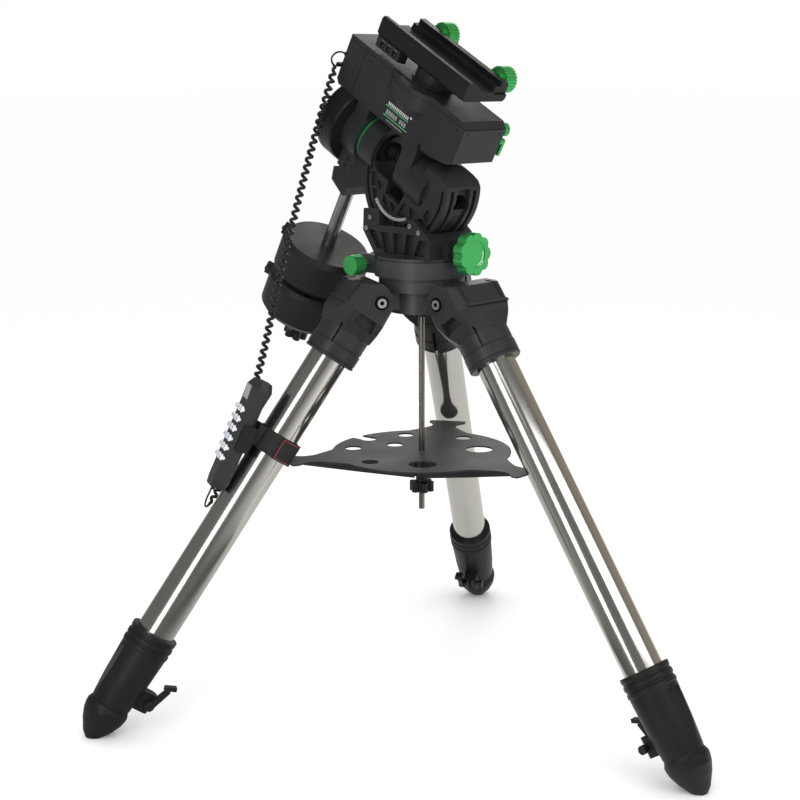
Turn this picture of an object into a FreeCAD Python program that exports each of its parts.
import FreeCAD, Part
import math
import os

# A centre-balanced equatorial telescope mount on a steel-tube tripod.
# Millimetres, +Z up, +Y towards the raised (polar) end of the head.
# Each named piece is written to its own STEP file in parts/.

V = FreeCAD.Vector
os.makedirs("parts", exist_ok=True)

# ---------------------------------------------------------------- driving sizes
# Tripod
LEG_LEAN = 34.14          # leg axis from the vertical, degrees
FOOT_RADIUS = 628.1       # foot tips from the central axis
LEG_AZIMUTHS = {"s": 177.0, "ne": 57.0, "nw": -63.0}   # clockwise from +Y
TUBE_R = 35.0             # 70 mm outer leg tube
TUBE_BORE_R = 32.55
TUBE_FROM = 106.0         # distances along a leg are from its foot tip
TUBE_TO = 876.0
SOCKET_FROM = 806.0
COLLAR_FROM = 70.5
COLLAR_TO = 223.0
INNER_R = 32.5            # sliding lower leg tube
INNER_WALL = 3.0
INNER_FROM = 56.0
INNER_TO = 560.0
HINGE_S = 937.0           # hinge axis along the leg, and off its axis
HINGE_E = -8.0
HINGE_PIN_R = 6.0
HINGE_BORE_R = 6.05
CHEEK_IN = 34.0
CHEEK_OUT = 68.0
BOLT_RECESS = 3.0
HUB_R = 62.0
HUB_BAND_R = 78.0
HUB_Z0 = 745.0
HUB_BAND_Z0 = 785.0
HUB_TOP = 809.9
ROD_R = 5.5
ROD_Z0 = 371.0
TRAY_TOP = 482.5
TRAY_T = 3.0
TRAY_HUB_T = 46.0         # depth of the tray's hub and webs
TRAY_R = 165.8
EYEPIECE_SMALL_R = 15.9   # 1.25 inch eyepiece hole
EYEPIECE_LARGE_R = 25.5   # 2 inch eyepiece hole
TRAY_HOLES = [            # distance from the rod, azimuth, radius
    (129.0, 31.0, EYEPIECE_SMALL_R), (129.0, 83.0, EYEPIECE_SMALL_R),
    (129.0, -37.0, EYEPIECE_SMALL_R), (129.0, -89.0, EYEPIECE_SMALL_R),
    (68.0, -3.0, EYEPIECE_SMALL_R), (107.0, 130.0, EYEPIECE_LARGE_R),
    (107.0, 224.0, EYEPIECE_LARGE_R)]
NOTCH_AZIMUTH = -3.0
# Azimuth stage and latitude fork
RING_R = 85.6
RING_Z0 = 810.0
RING_TOP = 846.0
FORK_X_IN = 44.0
FORK_X_OUT = 58.0
LAT_Y = 1.0               # latitude axis, parallel to X
LAT_Z = 976.0
CARRIAGE_R = 106.0
SCALE_R = 66.0
# Head, in its own tilted frame (x east, u along the polar axis, n along the declination axis)
LATITUDE = 29.0
RA_N = 864.0
DEC_U = 532.0
BOX_U0 = 384.0
BOX_U1 = 708.0
BOX_HALF_W = 51.0
BOX_N0 = 925.0
BOX_N1 = 1021.0
BULGE_R = 73.0            # round swelling of the housing about the declination axis
SADDLE_U0 = 413.0
SADDLE_U1 = 651.0
SADDLE_HALF_W = 52.5
SADDLE_N0 = 1051.0
SADDLE_N1 = 1086.0
SADDLE_FLOOR_N = 1069.0
CW_U = 632.0
CW_SHAFT_R = 13.0
CW_R = 88.0
CW_BORE_R = 13.1
CW_T = 75.0
CW_UPPER_N = 541.0
CW_LOWER_N = 458.0
# Hand controller and its curly cord
CORD_R = 7.8              # outer radius of the coil
KEY_PITCH = 18.5
KEY_BASE = 18.5
KEY_TRAVEL = 1.2
SHIFT = V(15.8, 117.3, 0.0)   # brings the overall box centre onto the Z axis


# ---------------------------------------------------------------- helpers
def box(x0, x1, y0, y1, z0, z1):
    return Part.makeBox(x1 - x0, y1 - y0, z1 - z0, V(x0, y0, z0))


def cyl(r, base, axis, length):
    return Part.makeCylinder(r, length, V(*base), V(*axis))


def ring(r_out, r_in, base, axis, length):
    outer = cyl(r_out, base, axis, length)
    return outer.cut(cyl(r_in, base, axis, length))


def fuse(shapes):
    result = shapes[0]
    for other in shapes[1:]:
        result = result.fuse(other)
    return result.removeSplitter()


def cut(shape, tools):
    for tool in tools:
        shape = shape.cut(tool)
    return shape


def prism_x(points_yz, x0, x1):
    """Polygon in the YZ plane, extruded from x0 to x1."""
    vecs = [V(x0, y, z) for y, z in points_yz]
    face = Part.Face(Part.makePolygon(vecs + [vecs[0]]))
    return face.extrude(V(x1 - x0, 0, 0))


def oval_x(half_w, half_h, x, y, z, length):
    """Flat-sided oval with its axis along X."""
    reach = half_w - half_h
    return fuse([box(x, x + length, y - reach, y + reach, z - half_h, z + half_h),
                 cyl(half_h, (x, y - reach, z), (1, 0, 0), length), cyl(half_h, (x, y + reach, z), (1, 0, 0), length)])


def prism_z(points_xy, z0, z1):
    vecs = [V(x, y, z0) for x, y in points_xy]
    face = Part.Face(Part.makePolygon(vecs + [vecs[0]]))
    return face.extrude(V(0, 0, z1 - z0))


def prism_y(points_xz, y0, y1):
    vecs = [V(x, y0, z) for x, z in points_xz]
    face = Part.Face(Part.makePolygon(vecs + [vecs[0]]))
    return face.extrude(V(0, y1 - y0, 0))


def revolve_z(profile):
    """Solid of revolution about Z from (radius, z) points."""
    pts = [V(r, 0, z) for r, z in profile]
    pts = [V(0, 0, profile[0][1])] + pts + [V(0, 0, profile[-1][1])]
    face = Part.Face(Part.makePolygon(pts + [pts[0]]))
    return face.revolve(V(0, 0, 0), V(0, 0, 1), 360)


def chamfered(hx, hy, c, z, dx=0.0):
    """Closed octagonal wire: a rectangle with its corners cut off."""
    pts = [(hx - c, hy), (hx, hy - c), (hx, c - hy), (hx - c, -hy),
           (c - hx, -hy), (-hx, c - hy), (-hx, hy - c), (c - hx, hy)]
    vecs = [V(x + dx, y, z) for x, y in pts]
    return Part.makePolygon(vecs + [vecs[0]])


def lobed_knob(r_body, r_lobe, count, height, r_centres=None):
    """Knob about Z from z = 0, with round lobes standing out of its rim."""
    reach = r_body if r_centres is None else r_centres
    shapes = [cyl(r_body, (0, 0, 0), (0, 0, 1), height)]
    for k in range(count):
        a = 2 * math.pi * k / count
        shapes.append(cyl(r_lobe, (reach * math.cos(a), reach * math.sin(a), 0), (0, 0, 1), height))
    return fuse(shapes)


def knurled(r, height, count, depth):
    """Round knob about Z with grip grooves along it."""
    body = cyl(r, (0, 0, 0), (0, 0, 1), height)
    tools = []
    for k in range(count):
        a = 2 * math.pi * k / count
        tools.append(cyl(depth, (r * math.cos(a), r * math.sin(a), -1), (0, 0, 1), height + 2))
    return cut(body, tools)


def round_corners(plate, corners, radius):
    """Fillet the upright edges of a flat plate that stand at the given (x, y) corners."""
    chosen = []
    for edge in plate.Edges:
        low, high = edge.Vertexes[0].Point, edge.Vertexes[-1].Point
        upright = abs(low.x - high.x) < 0.01 and abs(low.y - high.y) < 0.01
        if upright and any(abs(low.x - x) < 0.1 and abs(low.y - y) < 0.1 for x, y in corners):
            chosen.append(edge)
    return plate.makeFillet(radius, chosen)


def place(shape, origin, z_dir):
    """Move a shape made about Z so that Z points along z_dir from origin."""
    turned = shape.copy()
    turned.Placement = FreeCAD.Placement(V(*origin), FreeCAD.Rotation(V(0, 0, 1), V(*z_dir)))
    return turned


def to_head(shape):
    turned = shape.copy()
    turned.rotate(V(0, 0, 0), V(1, 0, 0), LATITUDE)
    return turned


def leg_placement(azimuth):
    """Leg frame: X outwards across the leg, Y sideways, Z up along the leg from its foot tip."""
    lean = math.radians(LEG_LEAN)
    a = V(math.sin(math.radians(azimuth)), math.cos(math.radians(azimuth)), 0)
    e = a * math.cos(lean) + V(0, 0, math.sin(lean))
    d = a * -math.sin(lean) + V(0, 0, math.cos(lean))
    t = d.cross(e)
    m = FreeCAD.Matrix(e.x, t.x, d.x, a.x * FOOT_RADIUS,
                       e.y, t.y, d.y, a.y * FOOT_RADIUS,
                       e.z, t.z, d.z, 0,
                       0, 0, 0, 1)
    return FreeCAD.Placement(m)


NODES = {}


def keep(name, shape):
    NODES[name] = shape


# ---------------------------------------------------------------- tripod
def make_leg(tag, azimuth):
    placement = leg_placement(azimuth)

    def put(name, shape):
        moved = shape.copy()
        moved.Placement = placement.multiply(moved.Placement)
        return moved

    # shoulder casting: clamp socket, winged body with a thin top skin, two hinge cheeks
    socket = revolve_z([(47.0, SOCKET_FROM), (48.5, SOCKET_FROM + 2), (48.5, 811), (47.2, 812), (47.2, 813),
                        (48.5, 814), (48.5, 833), (46.6, 834), (46.6, 836), (47.5, 837), (47.5, 872), (45.5, 878)])
    outline = [(-46, 862), (50, 862), (50, 889), (43, 907), (39, 945), (23, 956), (10, 966), (2, 966),
               (-20, 957), (-33, 945), (-36, 905)]
    envelope = Part.makeLoft([chamfered(46.5, 46.5, 27, 862), chamfered(50, 58, 22, 884),
                              chamfered(51, CHEEK_OUT, 22, 903), chamfered(51, CHEEK_OUT, 22, 970)], True, True)
    body = prism_y(outline, -CHEEK_OUT, CHEEK_OUT).common(envelope)
    cheek = cyl(24, (HINGE_E, -CHEEK_OUT, HINGE_S), (0, 1, 0), 2 * CHEEK_OUT)
    ribs = [prism_y([(36, 904), (46.5, 904), (44, 910), (36, 910)], -56, 56)]
    for side in (-48, 45):
        ribs.append(prism_y([(36, 908), (44, 908), (41, 945), (26, 956), (20, 950)], side, side + 3))
    shoulder = fuse([socket, body, cheek] + ribs)
    under_skin = prism_y([(33, 908), (33, 938), (16, 949), (0, 958), (-10, 975), (-90, 975), (-90, 908)],
                         -CHEEK_IN, CHEEK_IN)
    tools = [under_skin,
             cyl(TUBE_R, (0, 0, SOCKET_FROM - 1), (0, 0, 1), TUBE_TO - SOCKET_FROM + 1),
             cyl(HINGE_BORE_R, (HINGE_E, -90, HINGE_S), (0, 1, 0), 180),
             box(-60, -40, -3, 3, SOCKET_FROM - 1, 860)]
    for side in (-1, 1):
        sunk = side * (CHEEK_OUT - BOLT_RECESS)
        tools.append(cyl(13, (HINGE_E, sunk, HINGE_S), (0, side, 0), 10))
        slit = box(41, 60, -2, 2, 834, 872)
        slit.rotate(V(0, 0, 0), V(0, 0, 1), side * 59)
        tools.append(slit)
        wing = prism_y([(-20, 902), (14, 902), (16, 885), (-26, 880)], min(side * 50, side * 90),
                       max(side * 50, side * 90))
        tools.append(wing)
    shoulder = cut(shoulder, tools)
    keep("leg_%s_shoulder" % tag, put(tag, shoulder))
    tube = ring(TUBE_R, TUBE_BORE_R, (0, 0, TUBE_FROM), (0, 0, 1), TUBE_TO - TUBE_FROM)
    keep("leg_%s_tube" % tag, put(tag, tube))

    # lower collar with two grip bands and the clamp boss on its inner side
    collar = revolve_z([(36.5, COLLAR_FROM), (37.5, 76), (41.0, 120), (43.5, 182), (43.5, 186),
                        (45.0, 188), (45.0, 194), (43.0, 196), (43.0, 199), (45.0, 201),
                        (45.0, 208), (43.0, 210), (43.0, 213), (44.5, 215), (44.5, COLLAR_TO)])
    boss = fuse([box(-54, -20, -13, 13, 84, 122), cyl(13, (-54, 0, 84), (0, 0, 1), 38)])
    collar = fuse([collar, boss])
    collar = cut(collar, [
        cyl(TUBE_R, (0, 0, TUBE_FROM), (0, 0, 1), COLLAR_TO),
        cyl(TUBE_BORE_R, (0, 0, COLLAR_FROM - 1), (0, 0, 1), 60),
        box(-90, 0, -2, 2, COLLAR_FROM - 1, 124),
        cyl(5.05, (-58, -30, 103), (0, 1, 0), 60),
        box(38.5, 60, -16, 16, 84, 178),
    ])
    keep("leg_%s_collar" % tag, put(tag, collar))

    # sliding lower leg: steel tube and blunt cone foot, flat where it meets the floor
    inner = ring(INNER_R, INNER_R - INNER_WALL, (0, 0, INNER_FROM), (0, 0, 1), INNER_TO - INNER_FROM)
    keep("leg_%s_inner" % tag, put(tag, inner))
    foot = revolve_z([(8, -2), (17, 6), (31, 28), (38, 44), (40.5, 56), (40.5, 62), (37, 70)])
    foot = foot.cut(cyl(INNER_R, (0, 0, INNER_FROM), (0, 0, 1), 30))
    foot = put(tag, foot).cut(box(-900, 900, -900, 900, -60, 0))
    keep("leg_%s_foot" % tag, foot)

    # winged clamp lever on a cross screw
    arm = prism_y([(-52, 98), (-64, 94), (-79, 142), (-70, 146)], 16, 24)
    lever = fuse([cyl(5, (-58, -26, 103), (0, 1, 0), 50), cyl(9, (-58, 14, 103), (0, 1, 0), 12), arm,
                  prism_y([(-64, 148), (-66, 141), (-86, 149), (-84, 156)], 13, 27),
                  cyl(8, (-58, -26, 103), (0, 1, 0), 8)])
    keep("leg_%s_lever" % tag, put(tag, lever))


def hinge_frame(azimuth):
    """Centre of a leg hinge and the outward and sideways directions there."""
    lean = math.radians(LEG_LEAN)
    a = V(math.sin(math.radians(azimuth)), math.cos(math.radians(azimuth)), 0)
    side = V(0, 0, 1).cross(a)
    radius = FOOT_RADIUS - HINGE_S * math.sin(lean) + HINGE_E * math.cos(lean)
    height = HINGE_S * math.cos(lean) + HINGE_E * math.sin(lean)
    return a, side, radius, height


def make_tripod():
    hub = fuse([cyl(HUB_R, (0, 0, HUB_Z0), (0, 0, 1), HUB_BAND_Z0 - HUB_Z0),
                cyl(HUB_BAND_R, (0, 0, HUB_BAND_Z0), (0, 0, 1), HUB_TOP - HUB_BAND_Z0)])
    bolts = []
    lugs = []
    for azimuth in LEG_AZIMUTHS.values():
        a, side, radius, height = hinge_frame(azimuth)
        centre = a * radius + V(0, 0, height)
        angle = -azimuth
        clear = cyl(26, tuple(centre - side * 80), tuple(side), 160)
        hub = hub.cut(clear)
        lug = box(1 - CHEEK_IN, CHEEK_IN - 1, 30, radius, height - 19, height + 19)
        lug.rotate(V(0, 0, 0), V(0, 0, 1), angle)
        boss = cyl(19, tuple(centre - side * (CHEEK_IN - 1)), tuple(side), 2 * CHEEK_IN - 2)
        lugs.append(fuse([lug, boss]).cut(cyl(HINGE_BORE_R, tuple(centre - side * 70), tuple(side), 140)))
        head = CHEEK_OUT - BOLT_RECESS + 0.4
        bolt = fuse([cyl(HINGE_PIN_R, tuple(centre - side * head), tuple(side), 2 * head),
                     cyl(8.5, tuple(centre - side * (head + 5)), tuple(side), 5),
                     cyl(8.5, tuple(centre + side * head), tuple(side), 5)])
        for sign in (-1, 1):
            bolt = bolt.cut(cyl(4, tuple(centre + side * (sign * (head + 2))), tuple(side * sign), 5))
        bolts.append(bolt)
    hub = fuse([hub] + lugs)
    peg = cyl(5, (0, 74, HUB_TOP - 20), (0, 0, 1), 48)
    hub = fuse([hub, peg])
    hub = cut(hub, [cyl(ROD_R, (0, 0, HUB_Z0 - 1), (0, 0, 1), 26)])
    keep("tripod_hub", hub)
    keep("hinge_bolts", Part.makeCompound(bolts))
    keep("tray_rod", cyl(ROD_R, (0, 0, ROD_Z0), (0, 0, 1), HUB_Z0 + 25 - ROD_Z0))
    nut = ring(14, ROD_R, (0, 0, HUB_Z0 - 11), (0, 0, 1), 11)
    keep("rod_nut", nut)

    plate_z = TRAY_TOP - TRAY_T
    tray = cyl(TRAY_R, (0, 0, plate_z), (0, 0, 1), TRAY_T)
    arm = prism_z([(-78, 130), (-46, 170), (-25, 200), (-22, 224), (-36, 242), (-36, 255),
                   (36, 255), (36, 242), (22, 224), (25, 200), (46, 170), (78, 130)], plate_z, TRAY_TOP)
    arm = round_corners(arm, [(-25, 200), (-22, 224), (22, 224), (25, 200)], 22)
    arm = round_corners(arm, [(-36, 242), (-36, 255), (36, 255), (36, 242)], 5)
    for azimuth in LEG_AZIMUTHS.values():
        turned = arm.copy()
        turned.rotate(V(0, 0, 0), V(0, 0, 1), -azimuth)
        tray = tray.fuse(turned)
    through = TRAY_HUB_T + 20
    tools = [cyl(ROD_R + 0.1, (0, 0, TRAY_TOP - through), (0, 0, 1), through + 10)]
    for reach, azimuth, r in TRAY_HOLES:
        a = math.radians(azimuth)
        centre = (reach * math.sin(a), reach * math.cos(a), TRAY_TOP - through)
        tools.append(cyl(r, centre, (0, 0, 1), through + 10))
    # open slot in the rim, opposite one leg
    slot = fuse([cyl(15, (0, 136, TRAY_TOP - 20), (0, 0, 1), 40),
                 box(-13, 13, 136, 190, TRAY_TOP - 20, TRAY_TOP + 20)])
    slot.rotate(V(0, 0, 0), V(0, 0, 1), -NOTCH_AZIMUTH)
    # hub and three tapering webs under the plate
    under = [tray, cyl(20, (0, 0, TRAY_TOP - TRAY_HUB_T), (0, 0, 1), TRAY_HUB_T)]
    for azimuth in LEG_AZIMUTHS.values():
        web = prism_x([(0, TRAY_TOP - TRAY_HUB_T), (20, TRAY_TOP - TRAY_HUB_T + 2), (205, plate_z),
                       (0, plate_z)], -6, 6)
        web.rotate(V(0, 0, 0), V(0, 0, 1), -azimuth)
        under.append(web)
    keep("tray", cut(fuse(under), tools + [slot]))
    knob = fuse([lobed_knob(16, 7, 6, 18), cyl(11, (0, 0, 0), (0, 0, 1), 30.5)])
    knob = knob.cut(cyl(ROD_R + 0.05, (0, 0, -1), (0, 0, 1), 80))
    keep("tray_knob", place(knob, (0, 0, 405.5), (0, 0, 1)))


# ---------------------------------------------------------------- azimuth stage and fork
def make_azimuth():
    stage = fuse([cyl(RING_R, (0, 0, RING_Z0), (0, 0, 1), 30),
                  cyl(RING_R - 4, (0, 0, RING_Z0 + 30), (0, 0, 1), RING_TOP - RING_Z0 - 30),
                  box(-62, 62, 58, 96, RING_Z0 + 2, RING_TOP)])
    stage = cut(stage, [box(-17, 17, 60, 88, RING_Z0 - 1, RING_TOP - 6),
                        box(-49, -36, 74, 100, RING_Z0, RING_TOP + 1),
                        box(36, 49, 74, 100, RING_Z0, RING_TOP + 1),
                        cyl(5.05, (-80, 74, 829), (1, 0, 0), 160)])
    keep("azimuth_ring", stage)
    knob = fuse([knurled(18.5, 24, 20, 1.6), cyl(5, (0, 0, -66), (0, 0, 1), 68), cyl(8, (0, 0, -12), (0, 0, 1), 13)])
    keep("azimuth_knob_west", place(knob, (-84, 74, 829), (-1, 0, 0)))
    keep("azimuth_knob_east", place(knob, (84, 74, 829), (1, 0, 0)))

    # fork: two cheeks on a base, hollowed round the swinging carriage
    outline = [(62, RING_TOP), (93, 889), (91, 928), (50, 931), (50, 900), (-25, 900), (-25, 913),
               (-33, 915), (-55, 901), (-77, 882), (-77, RING_TOP)]
    fork = fuse([prism_x(outline, -FORK_X_OUT, FORK_X_OUT), box(-26, 26, -92, -70, RING_TOP, 876)])
    lat_axis = (-FORK_X_OUT - 10, LAT_Y, LAT_Z)
    pockets = []
    for sign in (-1, 1):
        x0 = min(sign * (FORK_X_OUT - 8), sign * (FORK_X_OUT + 2))
        for y0, y1, z0, z1, lean in ((-68, -44, 851, 880, 7), (-38, -16, 851, 888, 4), (-10, 14, 851, 888, 0),
                                     (20, 42, 851, 888, -5), (49, 68, 858, 890, -11)):
            pocket = prism_x([(y0 + lean, z0), (y1 + lean, z0), (y1 - lean, z1), (y0 - lean, z1)], x0, x0 + 10)
            pockets.append(pocket)
    fork = cut(fork, [cyl(SCALE_R, lat_axis, (1, 0, 0), 140),
                      cyl(CARRIAGE_R + 2, (-FORK_X_IN, LAT_Y, LAT_Z), (1, 0, 0), 2 * FORK_X_IN),
                      box(-FORK_X_IN, FORK_X_IN, 40, 110, RING_TOP + 10, 950),
                      box(-10, 10, -62, 60, RING_TOP + 1, 880),
                      cyl(6.05, (0, -100, 857), (0, 1, 0), 50)] + pockets)
    keep("latitude_fork", fork)
    scale = ring(SCALE_R, SCALE_R - 5, (-FORK_X_OUT - 1, LAT_Y, LAT_Z), (1, 0, 0), 3)
    wedge = prism_x([(LAT_Y, LAT_Z), (LAT_Y + 120, LAT_Z - 60), (LAT_Y + 120, LAT_Z - 200),
                     (LAT_Y - 60, LAT_Z - 200)], -FORK_X_OUT - 2, -FORK_X_OUT + 4)
    keep("latitude_scale", scale.common(wedge))
    screws = []
    for y, z in ((72, 913), (82, 893), (-30, 903), (-52, 893)):
        for sign in (-1, 1):
            head = cyl(4.6, (sign * FORK_X_OUT, y, z), (sign, 0, 0), 3)
            head = head.cut(cyl(2.2, (sign * (FORK_X_OUT + 1.2), y, z), (sign, 0, 0), 3))
            screws.append(head)
    keep("fork_screws", Part.makeCompound(screws))
    lobes = lobed_knob(33.5, 12, 9, 20, 26)
    lobes.translate(V(0, 0, 6))
    knob = fuse([lobes, cyl(15, (0, 0, -16), (0, 0, 1), 24), cyl(6, (0, 0, -90), (0, 0, 1), 98),
                 cyl(8.5, (0, 0, -88), (0, 0, 1), 41)])
    dish = cyl(24, (0, 0, 24.5), (0, 0, 1), 3)
    keep("latitude_knob", place(knob.cut(dish), (0, -108, 857), (0, -1, 0)))


# ---------------------------------------------------------------- latitude carriage
# lightening pockets in the carriage's side plates, from the latitude axis
WEB_POCKETS = [
    [(-50, -30), (-30, -30), (-42, -50)], [(-22, -28), (-12, -34), (-10, -60), (-30, -54)],
    [(-2, -48), (16, -48), (4, -62)], [(24, -50), (38, -44), (34, -58), (16, -62)],
    [(44, -30), (66, -30), (50, -46)], [(66, -22), (76, -22), (76, -34)], [(84, -14), (98, -20), (94, -34), (84, -30)]]


def make_carriage():
    """Swinging cradle: two ribbed side plates, a toothed rim, and the two polar-axis housings."""
    lat_u = LAT_Y * math.cos(math.radians(LATITUDE)) + LAT_Z * math.sin(math.radians(LATITUDE))
    lat_n = -LAT_Y * math.sin(math.radians(LATITUDE)) + LAT_Z * math.cos(math.radians(LATITUDE))
    disc = cyl(CARRIAGE_R, (-42, lat_u, lat_n), (1, 0, 0), 84)
    # keep the part of the disc below a line from the north housing to the south housing
    profile = [(-140, 65), (-69, 32), (-50, -18), (-9, -18), (-5, -42), (34, -42), (38, -18), (75, -18),
               (96, 2), (140, 2), (140, -140), (-140, -140)]
    lower = prism_x([(lat_u + du, lat_n + dn) for du, dn in profile], -42, 42)
    sector = disc.common(lower)
    inner = cyl(80, (-32, lat_u, lat_n), (1, 0, 0), 64)
    sector = sector.cut(inner)
    rims = []
    for x0, x1, r in ((-32, -24, 99), (-16, 16, 97), (24, 32, 99)):
        rims.append(ring(CARRIAGE_R + 2, r, (x0, lat_u, lat_n), (1, 0, 0), x1 - x0))
    sector = cut(sector, rims)
    pockets = []
    for sign in (-1, 1):
        x0 = min(sign * 37, sign * 44)
        for a0, a1 in ((188, 202), (206, 222), (226, 242), (246, 262), (266, 282), (286, 302), (306, 322), (326, 344)):
            pts = []
            for rad, ang in ((86, a0), (86, a1), (72, a1), (72, a0)):
                pts.append((lat_u + rad * math.cos(math.radians(ang)), lat_n + rad * math.sin(math.radians(ang))))
            pockets.append(prism_x(pts, x0, x0 + 7))
        pockets.append(ring(98, 92, (x0, lat_u, lat_n), (1, 0, 0), 7))
        for web in WEB_POCKETS:
            pockets.append(prism_x([(lat_u + du, lat_n + dn) for du, dn in web], x0, x0 + 7))
    sector = cut(sector, pockets)
    north = fuse([cyl(52, (0, 562, RA_N), (0, 1, 0), 38), box(-42, 42, 562, 598, lat_n - 20, RA_N)])
    # the rim's south end is closed by a cap whose top follows the round of the housing
    cap = prism_x([(407, 880), (377, 895), (380, 901), (417, 925), (440, 925), (440, 850), (410, 850)], -42, 42)
    cap = cap.common(cyl(60, (0, 370, RA_N), (0, 1, 0), 80))
    south = fuse([cyl(50, (0, 424, RA_N), (0, 1, 0), 46), box(-42, 42, 400, 440, lat_n - 6, RA_N + 4), cap])
    carriage = fuse([sector, north, south])
    wheel_gap = ring(CARRIAGE_R + 6, 96.5, (-16.5, lat_u, lat_n), (1, 0, 0), 33)
    wheel_gap = wheel_gap.cut(prism_x([(lat_u, lat_n), (lat_u - 160, lat_n + 74), (lat_u - 160, lat_n + 160),
                                       (lat_u + 160, lat_n + 160), (lat_u + 160, lat_n)], -20, 20))
    carriage = cut(carriage, [cyl(40, (0, 561, RA_N), (0, 1, 0), 40), cyl(36, (0, 440, RA_N), (0, 1, 0), 31),
                              cyl(20, (0, 350, RA_N), (0, 1, 0), 100), wheel_gap])
    keep("latitude_carriage", to_head(carriage))
    wheel = ring(102, 97, (-16, lat_u, lat_n), (1, 0, 0), 32)
    span = prism_x([(lat_u, lat_n), (lat_u - 140, lat_n + 10), (lat_u - 140, lat_n - 140),
                    (lat_u + 140, lat_n - 140), (lat_u + 140, lat_n - 60)], -20, 20)
    wheel = wheel.common(span)
    teeth = []
    for k in range(92):
        a = math.radians(184 + 1.9 * k)
        c = (lat_u + 102 * math.cos(a), lat_n + 102 * math.sin(a))
        teeth.append(cyl(0.9, (-17, c[0], c[1]), (1, 0, 0), 34))
    wheel = wheel.cut(Part.makeCompound(teeth))
    keep("latitude_wheel", to_head(wheel))
    bearings = [ring(40, 30.05, (0, 566, RA_N), (0, 1, 0), 14), ring(40, 30.05, (0, 584, RA_N), (0, 1, 0), 14),
                ring(36, 24.05, (0, 448, RA_N), (0, 1, 0), 16)]
    keep("ra_bearings", to_head(Part.makeCompound(bearings)))


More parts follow.
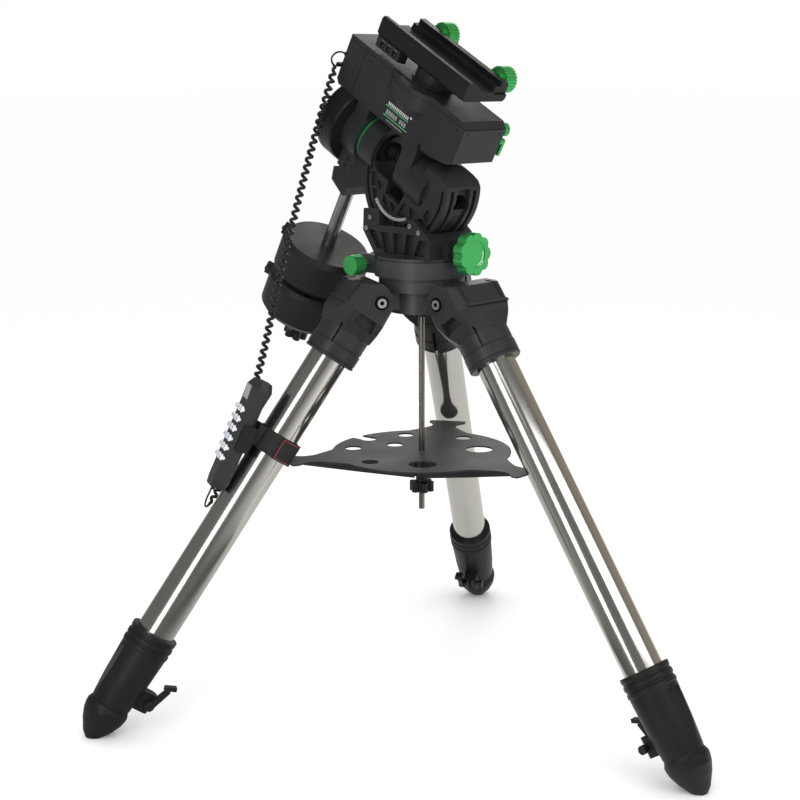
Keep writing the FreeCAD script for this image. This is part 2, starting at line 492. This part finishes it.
# ---------------------------------------------------------------- polar-axis body
def make_ra():
    shaft = ring(30, 18, (0, 562, RA_N), (0, 1, 0), 88)
    keep("ra_shaft", to_head(shaft))
    scope = fuse([cyl(17.9, (0, 566, RA_N), (0, 1, 0), 120), cyl(15, (0, 545, RA_N), (0, 1, 0), 22),
                  cyl(11, (0, 520, RA_N), (0, 1, 0), 26)])
    keep("polar_scope", to_head(scope))
    yoke = fuse([cyl(45, (0, 471.5, RA_N), (0, 1, 0), 34), box(-45, 45, 471.5, 505.5, RA_N, BOX_N0),
                 cyl(24, (0, 446, RA_N), (0, 1, 0), 26)])
    keep("ra_yoke", to_head(yoke))
    ringed = ring(50, 30.05, (0, 601, RA_N), (0, 1, 0), 5)
    keep("ra_ring", to_head(ringed))
    profile = [(60, 646), (77, 650), (78.5, 654), (78.5, 675), (77.3, 676), (78.5, 677), (78.5, 690), (74, 696)]
    drum = revolve_z(profile)
    drum.rotate(V(0, 0, 0), V(1, 0, 0), -90)
    drum.translate(V(0, 0, RA_N))
    drum = drum.cut(cyl(30, (0, 600, RA_N), (0, 1, 0), 50)).cut(cyl(17.95, (0, 600, RA_N), (0, 1, 0), 120))
    keep("ra_drum", to_head(drum))
    block = fuse([cyl(57, (0, 606.5, RA_N), (0, 1, 0), 39.5), box(-40, 40, 606.5, 646, 790, RA_N),
                  prism_x([(606.5, 820), (645.5, 820), (645.5, 784), (658, 776), (652, 752), (612, 740),
                           (606.5, 760)], -33, 33)])
    block = cut(block, [cyl(30, (0, 600, RA_N), (0, 1, 0), 50), cyl(CW_SHAFT_R, (0, CW_U, 700), (0, 0, 1), 110)])
    post = prism_x([(610, BOX_N0 - 62), (644, BOX_N0 - 62), (644, BOX_N0), (610, BOX_N0)], -46, 46)
    block = fuse([block, post.cut(cyl(50, (0, 600, RA_N), (0, 1, 0), 50))])
    keep("cw_block", to_head(block))
    keep("cw_shaft", to_head(cyl(CW_SHAFT_R, (0, CW_U, 428), (0, 0, 1), 382)))
    knob = fuse([lobed_knob(17, 7.5, 6, 16), cyl(9, (0, 0, 0), (0, 0, 1), 25.9)])
    keep("cw_end_knob", to_head(place(knob, (0, CW_U, 402), (0, 0, 1))))

    side = [(BOX_U1, BOX_N0 + 8), (BOX_U1, BOX_N1), (BOX_U0 + 12, BOX_N1 + 2), (BOX_U0, 1012), (BOX_U0, 947),
            (BOX_U0 + 12, 940), (450, BOX_N0), (BOX_U1 - 8, BOX_N0)]
    body = prism_x(side, -BOX_HALF_W, BOX_HALF_W)
    bulge = cyl(BULGE_R, (0, DEC_U, BOX_N1 - 35), (0, 0, 1), 35)
    lower_bulge = Part.makeCone(51, BULGE_R, 20, V(0, DEC_U, BOX_N1 - 55), V(0, 0, 1))
    body = fuse([body, bulge, lower_bulge])
    bevels = []
    for sign in (-1, 1):
        x_in = sign * (BOX_HALF_W - 9)
        x_out = sign * (BOX_HALF_W + 14)
        bevels.append(prism_y([(x_in, BOX_N0 - 1), (x_out, BOX_N0 - 1), (x_out, BOX_N0 + 34)], BOX_U0 - 1, 470))
        bevels.append(box(min(sign * 50.2, sign * 64), max(sign * 50.2, sign * 64), 660, 662, BOX_N0 - 1, BOX_N1 + 1))
    seam = box(-90, 90, BOX_U0 - 5, BOX_U1 + 5, BOX_N1 - 9, BOX_N1 - 8)
    kept = fuse([box(0.8 - BOX_HALF_W, BOX_HALF_W - 0.8, BOX_U0 + 6, BOX_U1 - 0.8, BOX_N1 - 12, BOX_N1 - 4),
                 cyl(BULGE_R - 0.8, (0, DEC_U, BOX_N1 - 12), (0, 0, 1), 8)])
    drum_gap = cyl(79.5, (0, 645, RA_N), (0, 1, 0), 52.5)
    body = cut(body, bevels + [cyl(40.05, (0, DEC_U, BOX_N0 + 10), (0, 0, 1), 120), seam.cut(kept), drum_gap])
    cap_zone = box(-90, 90, 662, 720, 900, 1100)
    keep("dec_end_cap", to_head(body.common(cap_zone)))
    keep("dec_body", to_head(body.cut(cap_zone)))
    clutch = fuse([knurled(12, 11, 18, 1.2), cyl(7, (0, 0, -8), (0, 0, 1), 9), cyl(9, (0, 0, 0), (0, 0, 1), 13)])
    keep("dec_clutch_knob", to_head(place(clutch, (BOX_HALF_W + 8.3, 400, 1003), (1, 0, 0))))
    lever = fuse([cyl(6, (BOX_HALF_W + 0.3, 392, 984), (1, 0, 0), 15), box(60, 66, 386, 398, 958, 986)])
    keep("dec_clutch_lever", to_head(lever))


def make_counterweight(name, n0, knob_angle):
    weight = revolve_z([(80, n0), (CW_R, n0 + 9), (CW_R, n0 + CW_T - 9), (80, n0 + CW_T)])
    weight = weight.cut(cyl(CW_BORE_R, (0, 0, n0 - 1), (0, 0, 1), CW_T + 2))
    a = math.radians(knob_angle)
    out = (math.cos(a), math.sin(a), 0)
    mid = n0 + CW_T - 22
    start = (out[0] * 40, out[1] * 40, mid)
    weight = weight.cut(cyl(4.05, start, out, 60))
    weight.translate(V(0, CW_U, 0))
    keep(name, to_head(weight))
    knob = fuse([lobed_knob(9, 4.5, 5, 11), cyl(4, (0, 0, -46), (0, 0, 1), 48)])
    placed = place(knob, (out[0] * 89, out[1] * 89 + CW_U, mid), out)
    keep(name + "_knob", to_head(placed))


# ---------------------------------------------------------------- declination head
def make_dec():
    head = fuse([cyl(40, (0, DEC_U, BOX_N0 + 14), (0, 0, 1), BOX_N1 + 4 - BOX_N0 - 14),
                 cyl(36, (0, DEC_U, BOX_N1), (0, 0, 1), SADDLE_N0 - BOX_N1),
                 prism_y([(-50, 1031), (-28, 1027), (-28, SADDLE_N0), (-50, SADDLE_N0)], 585, 648),
                 box(-30, 30, DEC_U, 648, SADDLE_N0 - 5, SADDLE_N0)])
    ports = []
    for k in range(3):
        ports.append(box(-52, -46, 592 + 17 * k, 604 + 17 * k, 1035, 1046))
    keep("dec_head", to_head(cut(head, ports)))
    slab = prism_y([(-48, SADDLE_N0), (48, SADDLE_N0), (SADDLE_HALF_W, 1056), (SADDLE_HALF_W, 1064),
                    (18, 1064), (18, SADDLE_FLOOR_N), (-10, SADDLE_FLOOR_N), (-41, SADDLE_N1), (-49, SADDLE_N1),
                    (-SADDLE_HALF_W, 1082), (-SADDLE_HALF_W, 1056)], SADDLE_U0, SADDLE_U1)
    bolts = []
    for u in (450, 608):
        bolts.append(cyl(5.05, (-60, u, 1073), (1, 0, 0), 24))
    keep("saddle", to_head(cut(slab, bolts)))
    jaw = prism_y([(18.5, 1064.1), (SADDLE_HALF_W, 1064.1), (SADDLE_HALF_W, 1080), (47, SADDLE_N1), (34, SADDLE_N1),
                   (34, 1078), (22, 1078)], SADDLE_U0 + 4, SADDLE_U1 - 6)
    jaw = cut(jaw, [cyl(5.05, (30, u, 1073), (1, 0, 0), 40) for u in (450, 608)])
    keep("saddle_jaw", to_head(jaw))
    knob = fuse([knurled(23, 26, 24, 2.0), cyl(13, (0, 0, -6), (0, 0, 1), 7), cyl(4.9, (0, 0, -20), (0, 0, 1), 22)])
    keep("saddle_knob_front", to_head(place(knob, (60, 450, 1073), (1, 0, 0))))
    keep("saddle_knob_rear", to_head(place(knob, (60, 608, 1073), (1, 0, 0))))


# ---------------------------------------------------------------- hand controller
def make_handset():
    base = leg_placement(LEG_AZIMUTHS["nw"])

    def put(shape, extra=None):
        moved = shape.copy()
        if extra is not None:
            moved.Placement = extra.multiply(moved.Placement)
        moved.Placement = base.multiply(moved.Placement)
        return moved

    strap = ring(TUBE_R + 2.2, TUBE_R, (0, 0, 602), (0, 0, 1), 42)
    pad = box(34, 46, -22, 22, 604, 642)
    tilt = FreeCAD.Placement(V(59, 0, 606), FreeCAD.Rotation(V(0, 1, 0), 9))
    # local frame: X out of the front, Z up along the hand controller
    holder = fuse([box(-12, -8, -34, 34, -24, 24), box(-12, 10, -38, -34, -24, 24), box(-12, 10, 34, 38, -24, 24),
                   box(10, 13, -38, -28, -24, 24), box(10, 13, 28, 38, -24, 24), box(-14, -12, -20, 20, -22, 22)])
    keep("handset_holder", put(holder, tilt))
    leaning = holder.copy()
    leaning.Placement = tilt
    keep("leg_strap", put(cut(fuse([strap, pad]), [cyl(TUBE_R, (0, 0, 590), (0, 0, 1), 100), leaning])))
    shell = Part.makeLoft([chamfered(14, 22, 6, -102, 8), chamfered(15, 30, 8, -88, 7),
                           chamfered(15, 33, 8, 60, 7), chamfered(19, 31, 9, 90, 5),
                           chamfered(14, 24, 8, 104, 4)], True, True)
    shell = shell.cut(holder).cut(box(-13, -7.9, -40, 40, -25, 25))
    keys = []
    wells = []
    for row in range(6):
        for col in range(3):
            y, z = -19 + 19 * col, 46 - KEY_PITCH * row
            keys.append(oval_x(6.6, 3.6, KEY_BASE, y, z, 8.5))
            wells.append(oval_x(6.9, 3.9, KEY_BASE - KEY_TRAVEL - 0.3, y, z, 12))
    keep("handset_body", put(cut(shell, wells), tilt))
    keep("handset_keys", put(Part.makeCompound(keys), tilt))


def fillet_path(points):
    """Straight runs joined by tangent arcs; returns the wire and the arc radii."""
    edges = []
    radii = []
    last = points[0]
    for i in range(1, len(points) - 1):
        p, q, r = points[i - 1], points[i], points[i + 1]
        a = (p - q).normalize()
        b = (r - q).normalize()
        turn = math.pi - a.getAngle(b)
        setback = 0.45 * min((p - q).Length, (r - q).Length)
        radii.append(setback / math.tan(turn / 2))
        start = q + a * setback
        end = q + b * setback
        bis = (a + b).normalize()
        mid = q + bis * (radii[-1] / math.cos(turn / 2) - radii[-1])
        edges.append(Part.makeLine(last, start))
        edges.append(Part.Arc(start, mid, end).toShape())
        last = end
    edges.append(Part.makeLine(last, points[-1]))
    return Part.Wire(edges), radii


CORD_ROUTE = [(-60, 162, 1178), (-100, 166, 1075), (-152, 170, 925), (-199, 171, 784), (-235, 172, 661),
              (-252, 183, 597), (-266, 189, 537), (-284, 197, 482), (-306, 204, 438), (-334, 208, 406)]


def make_cord():
    points = [V(*p) for p in CORD_ROUTE]
    wire, radii = fillet_path(points)
    start = points[0]
    heading = (points[1] - points[0]).normalize()
    circle = Part.Wire(Part.makeCircle(CORD_R, start, heading))
    tube = wire.makePipeShell([circle], True, False)
    solid = tube if tube.ShapeType == "Solid" else Part.Solid(tube)
    print("cord length %.1f mm, radii %s" % (wire.Length, ["%.0f" % r for r in radii]))
    print("cord volume %.0f mm3, expected %.0f" % (solid.Volume, math.pi * CORD_R ** 2 * wire.Length))
    keep("control_cord", solid)


for leg_tag, leg_azimuth in LEG_AZIMUTHS.items():
    make_leg(leg_tag, leg_azimuth)
make_tripod()
make_azimuth()
make_carriage()
make_ra()
make_counterweight("cw_upper", CW_UPPER_N, 106.0)
make_counterweight("cw_lower", CW_LOWER_N, 118.0)
make_dec()
make_handset()
make_cord()

for node, solid in NODES.items():
    solid.translate(SHIFT)
    solid.exportStep("parts/%s.step" % node)
    kinds = "ok" if solid.isValid() else "INVALID"
    print("%-22s %s solids %d volume %.0f" % (node, kinds, len(solid.Solids), solid.Volume))
bounds = FreeCAD.BoundBox()
for node, solid in NODES.items():
    if node != "control_cord":
        bounds.add(solid.optimalBoundingBox(True, False))
print("centre offset", -bounds.Center.x, -bounds.Center.y, "zmin", bounds.ZMin, "size", bounds.XLength,
      bounds.YLength, bounds.ZLength)
